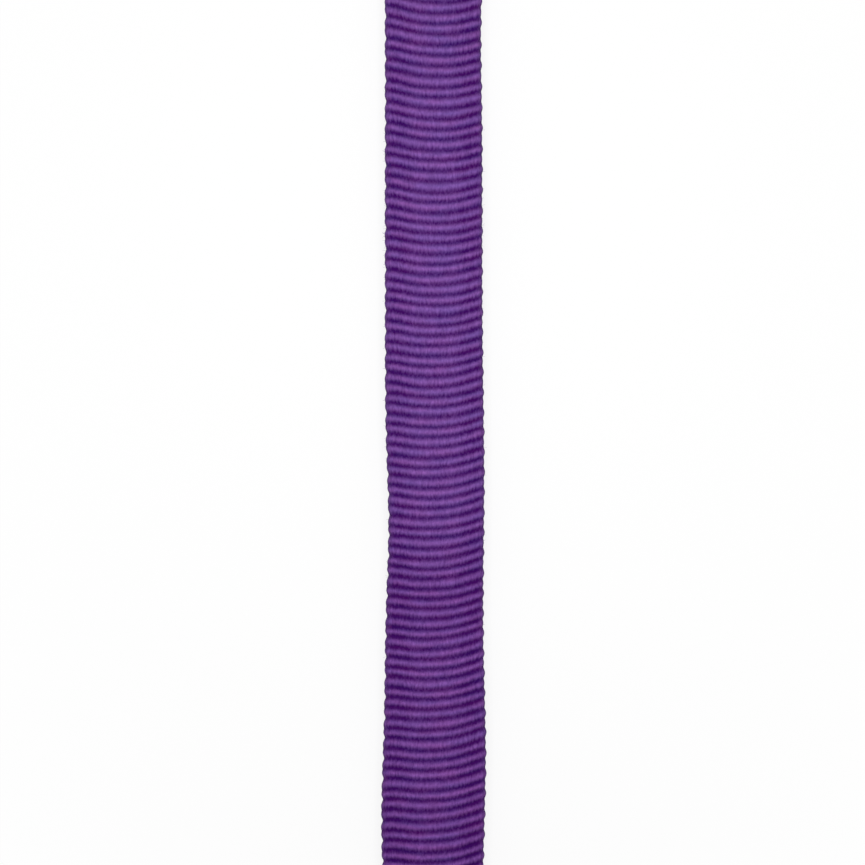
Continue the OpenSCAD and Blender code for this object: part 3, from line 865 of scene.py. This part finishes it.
def stitch_row(name, rows, count, face_out):
    """Rows of stitches across the sling. A stitch is a circle carried along X, which sinks into the
    cloth at both ends as a power of the distance from its middle."""
    along = np.linspace(-1.0, 1.0, STITCH_RINGS)[None, :, None]
    angle = np.linspace(0.0, 2 * np.pi, THREAD_SIDES, endpoint=False)[None, None, :]
    middle = ((np.arange(count) - (count - 1) / 2) * STITCH_PITCH)[None, :] + 0 * rows[:, None]
    at_s = (rows[:, None] + 0 * middle).reshape(-1, 1, 1)
    x = middle.reshape(-1, 1, 1) + along * STITCH_L / 2 + 0 * angle
    sink = np.sign(face_out) * STITCH_SINK * np.abs(along) ** SINK_POWER
    out = face_out - sink + THREAD_R * np.sin(angle) + 0 * at_s
    points = placed_on_route(at_s + THREAD_R * np.cos(angle) + 0 * along, x, out)
    turn = np.linspace(0.0, 1.0, THREAD_SIDES + 1)[None, None, :]
    uv = np.stack(np.broadcast_arrays(turn, along * STITCH_L / (4 * THREAD_R) + 0 * at_s), axis=-1)
    return tube_object(name, points, uv)


sewing_thread, thread_tree, thread_shader = cloth_material("sewing_thread", roughness=0.55, sheen=0.2)
thread_twist = twist_in(thread_tree, THREAD_PLIES, THREAD_TWIST)
# Painted shade: the thread is darker between its plies.
thread_colour = mix_in(thread_tree, thread_twist["Height"], THREAD_SHADED, THREAD_PALE)
thread_tree.links.new(thread_colour, thread_shader.inputs["Base Color"])
bump_in(thread_tree, thread_shader, thread_twist["Height"], THREAD_RELIEF)

needle_thread = stitch_row("closing_needle_stitches", SEAM_ROWS, SEAM_COUNT, NEEDLE_OUT)
bobbin_thread = stitch_row("closing_bobbin_stitches", SEAM_ROWS, SEAM_COUNT, BOBBIN_OUT)
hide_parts("closing_needle_thread")
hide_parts("closing_bobbin_thread")
for piece in (needle_thread, bobbin_thread):
    piece.data.materials.append(sewing_thread)
    bend_at_fold(piece)

# Tag: a bare strip of blue woven polyester. Its root is sewn to the sleeve where the leg starts
# to rise, and its flap lies loose on the overlap.
TAG_W = 30.0 * mm
TAG_ROOT_L = 9.0 * mm
TAG_FLAP_L = 34.3 * mm
TAG_T = 0.6 * mm
TAG_EDGE_SHARE = 0.3
TAG_EDGE_POWER = 12
TAG_OUT = 4.35 * mm
TAG_BEND_L = 6.0 * mm
TAG_LIFT = 0.7 * mm
TAG_CORNER_LIFT = 0.5 * mm
TAG_RIPPLE = 0.12 * mm
TAG_RIPPLE_L = 5.0 * mm
TAG_ROWS = 61
TAG_COLUMNS = 21


def tag_strip(name):
    """A flat ring, level above and below with round edges, carried from the root's end down to the
    loose end of the flap. It lies on the sleeve and lifts a little towards its loose corners,
    as the square of the distance from the middle, with a faint ripple along it."""
    s = np.linspace(LEVEL_L + TAG_ROOT_L, LEVEL_L - TAG_FLAP_L, TAG_ROWS)[:, None]
    level = np.linspace(-1.0, 1.0, TAG_COLUMNS)
    across = np.concatenate([level, level[::-1]])
    face = np.repeat([1.0, -1.0], TAG_COLUMNS)
    x = across * TAG_W / 2
    thin = TAG_EDGE_SHARE + (1 - TAG_EDGE_SHARE) * (1 - np.abs(across) ** TAG_EDGE_POWER)
    loose = smooth_step(-s, TAG_BEND_L - LEVEL_L, TAG_FLAP_L - LEVEL_L)
    curl = loose * (TAG_LIFT + TAG_CORNER_LIFT * across**2 + TAG_RIPPLE * np.sin(s / TAG_RIPPLE_L))
    points = placed_on_route(s + 0 * x, x + 0 * s, TAG_OUT + curl + face * thin * TAG_T / 2)[:, ::-1]
    wrap = np.append(x, x[0])[::-1]
    uv = np.stack(np.broadcast_arrays(wrap / mm, s / mm), axis=-1)
    return tube_object(name, points[None], uv[None])


TAG_BLUE = (0.030, 0.100, 0.34, 1.0)
TAG_DARK = (0.008, 0.032, 0.15, 1.0)
# Pitches and the selvedge are in mm, as the UV map of the tag is.
TAG_WARP_PITCH = 0.5
TAG_WEFT_PITCH = 0.6
SELVEDGE_FROM = 13.2
SELVEDGE_TO = 13.8
TAG_CHECK_TONE = 0.3
TAG_PATCHES = {"Scale": 0.45, "Detail": 4.0}
TAG_RELIEF = 0.15 * mm
SELVEDGE_TONE = -0.35
TAG_SMOOTH = 0.4
TAG_ROUGHER = 0.25

tag = tag_strip("tag")
tag_cloth, tag_tree, tag_shader = cloth_material("blue_tag_cloth", roughness=0.6, sheen=0.1)
tag_uv = node_in(tag_tree, "ShaderNodeUVMap", uv_map="weave").outputs[0]
tag_at = node_in(tag_tree, "ShaderNodeSeparateXYZ", {0: tag_uv}).outputs
tag_warp = math_in(tag_tree, "SINE", math_in(tag_tree, "MULTIPLY", tag_at["X"], 2 * np.pi / TAG_WARP_PITCH))
tag_weft = math_in(tag_tree, "SINE", math_in(tag_tree, "MULTIPLY", tag_at["Y"], 2 * np.pi / TAG_WEFT_PITCH))
tag_check = math_in(tag_tree, "MULTIPLY", tag_warp, tag_weft)
tag_grain = node_in(tag_tree, "ShaderNodeTexNoise", {"Vector": tag_uv, **TAG_PATCHES}).outputs["Fac"]
tag_side = math_in(tag_tree, "ABSOLUTE", tag_at["X"])
tag_selvedge = range_in(tag_tree, tag_side, SELVEDGE_FROM, SELVEDGE_TO, 0.0, SELVEDGE_TONE)
tag_tone = math_in(tag_tree, "MULTIPLY_ADD", tag_check, TAG_CHECK_TONE, tag_grain)
tag_tone = math_in(tag_tree, "ADD", tag_tone, tag_selvedge, clamp=True)
tag_colour = mix_in(tag_tree, tag_tone, TAG_DARK, TAG_BLUE)
tag_roughness = math_in(tag_tree, "MULTIPLY_ADD", tag_grain, TAG_ROUGHER, TAG_SMOOTH)
tag_tree.links.new(tag_colour, tag_shader.inputs["Base Color"])
tag_tree.links.new(tag_roughness, tag_shader.inputs["Roughness"])
bump_in(tag_tree, tag_shader, tag_check, TAG_RELIEF)
tag.data.materials.append(tag_cloth)
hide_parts("tag_root", "tag_flap")
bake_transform(tag)

TAG_SEAM_ROW = LEVEL_L + 4.0 * mm
TAG_SEAM_OUT = TAG_OUT + 0.35 * mm
tag_thread = stitch_row("tag_stitches", np.array([TAG_SEAM_ROW]), SEAM_COUNT, TAG_SEAM_OUT)
tag_thread.data.materials.append(sewing_thread)
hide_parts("tag_thread")
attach(tag_thread, "end_b")
